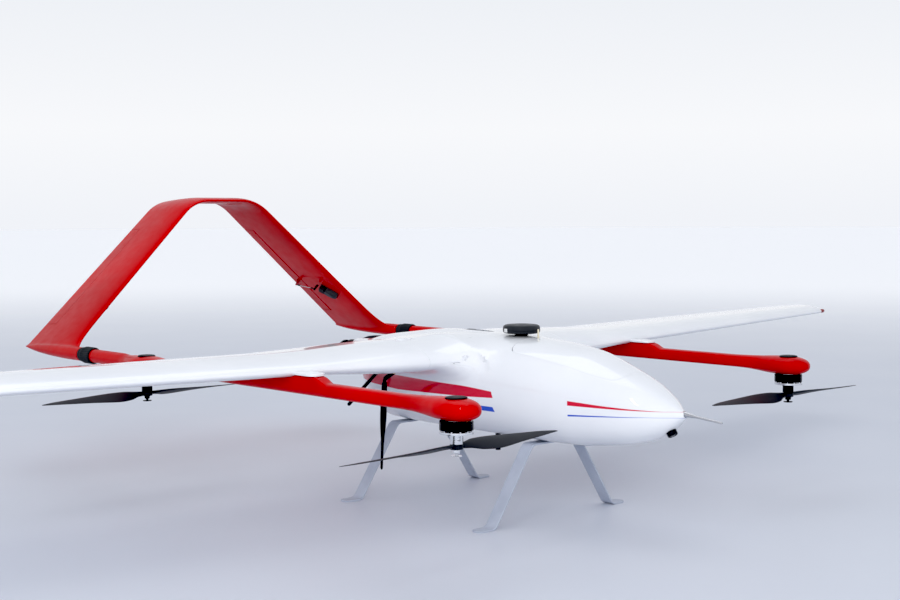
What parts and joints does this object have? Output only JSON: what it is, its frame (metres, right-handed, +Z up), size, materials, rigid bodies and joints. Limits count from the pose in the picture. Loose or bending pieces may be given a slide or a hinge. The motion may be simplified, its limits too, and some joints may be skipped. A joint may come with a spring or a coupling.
{
  "type": "fixed wing drone",
  "caption": "Fixed wing drone with a pod fuselage, straight wing, twin booms carrying lift motors, a bent inverted V tail, a pusher propeller and strap landing gear.",
  "frame": {"origin": "bottom centre of the whole aircraft's box, on the ground under the feet", "axes": "+X toward the port wing tip, +Y toward the tail, +Z up; the nose points along -Y"},
  "size_m": [2.9208, 1.5881, 0.5962],
  "materials": {
    "white_paint": "glossy white paint over glass fibre",
    "red_paint": "glossy clear-coated red paint over carbon fibre",
    "black_plastic": "satin black moulded plastic",
    "carbon_fibre": "satin carbon fibre",
    "polished_steel": "polished steel",
    "motor_aluminium": "bright turned aluminium",
    "black_anodised": "black anodised aluminium",
    "gold_plated": "gold plated",
    "grey_composite": "light grey satin composite",
    "red_lens": "clear red lens",
    "green_lens": "clear green lens",
    "battery_wrap": "blue heat shrink wrap"
  },
  "bodies": {
    "airframe": {"fuselage": "white_paint", "nose_camera": "black_plastic", "pitot_tube": "polished_steel", "gnss_puck": "black_plastic", "belly_rangefinder": "black_plastic", "battery": "battery_wrap", "flight_controller": "black_plastic", "wing_spar": "carbon_fibre", "wing_left": "white_paint", "wing_right": "white_paint", "nav_light_left": "red_lens", "nav_light_right": "green_lens", "boom_left": "red_paint", "boom_right": "red_paint", "tail_servo_left": "black_plastic", "tail_servo_right": "black_plastic", "tail": "red_paint", "pusher_motor": "motor_aluminium", "gear_strap_front": "grey_composite", "gear_strap_rear": "grey_composite", "aerial_base_whip": "gold_plated", "aerial_base_rod": "black_plastic", "pod_cap_front_left": "black_plastic", "motor_stator_front_left": "motor_aluminium", "pod_cap_front_right": "black_plastic", "motor_stator_front_right": "motor_aluminium", "pod_cap_rear_left": "black_plastic", "motor_stator_rear_left": "motor_aluminium", "pod_cap_rear_right": "black_plastic", "motor_stator_rear_right": "motor_aluminium"},
    "rotor_front_left": {"motor_bell_front_left": "black_anodised", "propeller_front_left": "carbon_fibre", "propeller_nut_front_left": "black_anodised"},
    "rotor_front_right": {"motor_bell_front_right": "motor_aluminium", "propeller_front_right": "carbon_fibre", "propeller_nut_front_right": "motor_aluminium"},
    "rotor_rear_left": {"motor_bell_rear_left": "black_anodised", "propeller_rear_left": "carbon_fibre", "propeller_nut_rear_left": "black_anodised"},
    "rotor_rear_right": {"motor_bell_rear_right": "black_anodised", "propeller_rear_right": "carbon_fibre", "propeller_nut_rear_right": "black_anodised"},
    "pusher_rotor": {"pusher_bell": "black_anodised", "pusher_propeller": "carbon_fibre", "pusher_spinner": "black_anodised"},
    "hatch": {"top_hatch": "white_paint"},
    "aileron_left": {"aileron_left": "white_paint"},
    "ruddervator_left": {"ruddervator_left": "red_paint"},
    "servo_arm_left": {"servo_arm_left": "black_plastic"},
    "pushrod_left": {"pushrod_left": "polished_steel"},
    "latch_left": {"wing_latch_left": "white_paint"},
    "coupling_nut_left": {"coupling_nut_left": "black_plastic"},
    "aileron_right": {"aileron_right": "white_paint"},
    "ruddervator_right": {"ruddervator_right": "red_paint"},
    "servo_arm_right": {"servo_arm_right": "black_plastic"},
    "pushrod_right": {"pushrod_right": "polished_steel"},
    "latch_right": {"wing_latch_right": "white_paint"},
    "coupling_nut_right": {"coupling_nut_right": "black_plastic"},
    "aerial_whip": {"aerial_whip": "black_plastic"},
    "aerial_rod": {"aerial_rod": "black_plastic"}
  },
  "joints": [
    {"name": "spin_front_left", "type": "hinge", "parent": "airframe", "child": "rotor_front_left", "pos_m": [0.44, -0.628, 0.2045], "axis": [0, 0, 1], "continuous": true},
    {"name": "spin_front_right", "type": "hinge", "parent": "airframe", "child": "rotor_front_right", "pos_m": [-0.44, -0.628, 0.2045], "axis": [0, 0, 1], "continuous": true},
    {"name": "spin_rear_left", "type": "hinge", "parent": "airframe", "child": "rotor_rear_left", "pos_m": [0.44, 0.26, 0.2045], "axis": [0, 0, 1], "continuous": true},
    {"name": "spin_rear_right", "type": "hinge", "parent": "airframe", "child": "rotor_rear_right", "pos_m": [-0.44, 0.26, 0.2045], "axis": [0, 0, 1], "continuous": true},
    {"name": "spin_pusher", "type": "hinge", "parent": "airframe", "child": "pusher_rotor", "pos_m": [0, 0.14, 0.272], "axis": [0, 1, 0], "continuous": true},
    {"name": "hatch_lift", "type": "slide", "parent": "airframe", "child": "hatch", "axis": [0, 0, 1], "range_m": [0, 0.08]},
    {"name": "aileron_left_hinge", "type": "hinge", "parent": "airframe", "child": "aileron_left", "pos_m": [0.76, 0.02239, 0.29732], "axis": [0.9972, 0.0747, 0.0007], "range_deg": [-20, 25]},
    {"name": "ruddervator_left_hinge", "type": "hinge", "parent": "airframe", "child": "ruddervator_left", "pos_m": [0.39333, 0.72371, 0.31372], "axis": [-0.7366, 0.0702, 0.6727], "range_deg": [-25, 25]},
    {"name": "servo_arm_left_turn", "type": "hinge", "parent": "airframe", "child": "servo_arm_left", "pos_m": [0.29258, 0.665, 0.37874], "axis": [-0.7373, 0, 0.6756], "range_deg": [-45, 45]},
    {"name": "pushrod_left_slide", "type": "slide", "parent": "airframe", "child": "pushrod_left", "axis": [0.0765, 0.9936, 0.0835], "range_m": [-0.0105, 0.0105]},
    {"name": "aileron_right_hinge", "type": "hinge", "parent": "airframe", "child": "aileron_right", "pos_m": [-0.76, 0.02239, 0.29732], "axis": [0.9972, -0.0747, -0.0007], "range_deg": [-20, 25]},
    {"name": "ruddervator_right_hinge", "type": "hinge", "parent": "airframe", "child": "ruddervator_right", "pos_m": [-0.39333, 0.72371, 0.31372], "axis": [-0.7366, -0.0702, -0.6727], "range_deg": [-25, 25]},
    {"name": "servo_arm_right_turn", "type": "hinge", "parent": "airframe", "child": "servo_arm_right", "pos_m": [-0.29258, 0.665, 0.37874], "axis": [-0.7373, 0, -0.6756], "range_deg": [-45, 45]},
    {"name": "pushrod_right_slide", "type": "slide", "parent": "airframe", "child": "pushrod_right", "axis": [-0.0765, 0.9936, 0.0835], "range_m": [-0.0105, 0.0105]},
    {"name": "latch_left_slide", "type": "slide", "parent": "airframe", "child": "latch_left", "axis": [-1, 0, 0], "range_m": [0, 0.006]},
    {"name": "coupling_nut_left_turn", "type": "hinge", "parent": "airframe", "child": "coupling_nut_left", "pos_m": [0.44, 0.465, 0.264], "axis": [0, 1, 0], "continuous": true},
    {"name": "latch_right_slide", "type": "slide", "parent": "airframe", "child": "latch_right", "axis": [1, 0, 0], "range_m": [0, 0.006]},
    {"name": "coupling_nut_right_turn", "type": "hinge", "parent": "airframe", "child": "coupling_nut_right", "pos_m": [-0.44, 0.465, 0.264], "axis": [0, 1, 0], "continuous": true},
    {"name": "aerial_whip_fold", "type": "hinge", "parent": "airframe", "child": "aerial_whip", "pos_m": [-0.154, -0.1245, 0.2416], "axis": [1, 0, 0], "range_deg": [0, 80]},
    {"name": "aerial_rod_fold", "type": "hinge", "parent": "airframe", "child": "aerial_rod", "pos_m": [-0.125, -0.073, 0.252], "axis": [1, 0, 0], "range_deg": [-50, 30]}
  ],
  "couplings": [
    {"joint": "servo_arm_left_turn", "follows": "ruddervator_left_hinge", "ratio": 1.74},
    {"joint": "pushrod_left_slide", "follows": "ruddervator_left_hinge", "m_per_rad": -0.0225},
    {"joint": "servo_arm_right_turn", "follows": "ruddervator_right_hinge", "ratio": 1.74},
    {"joint": "pushrod_right_slide", "follows": "ruddervator_right_hinge", "m_per_rad": -0.0225}
  ]
}
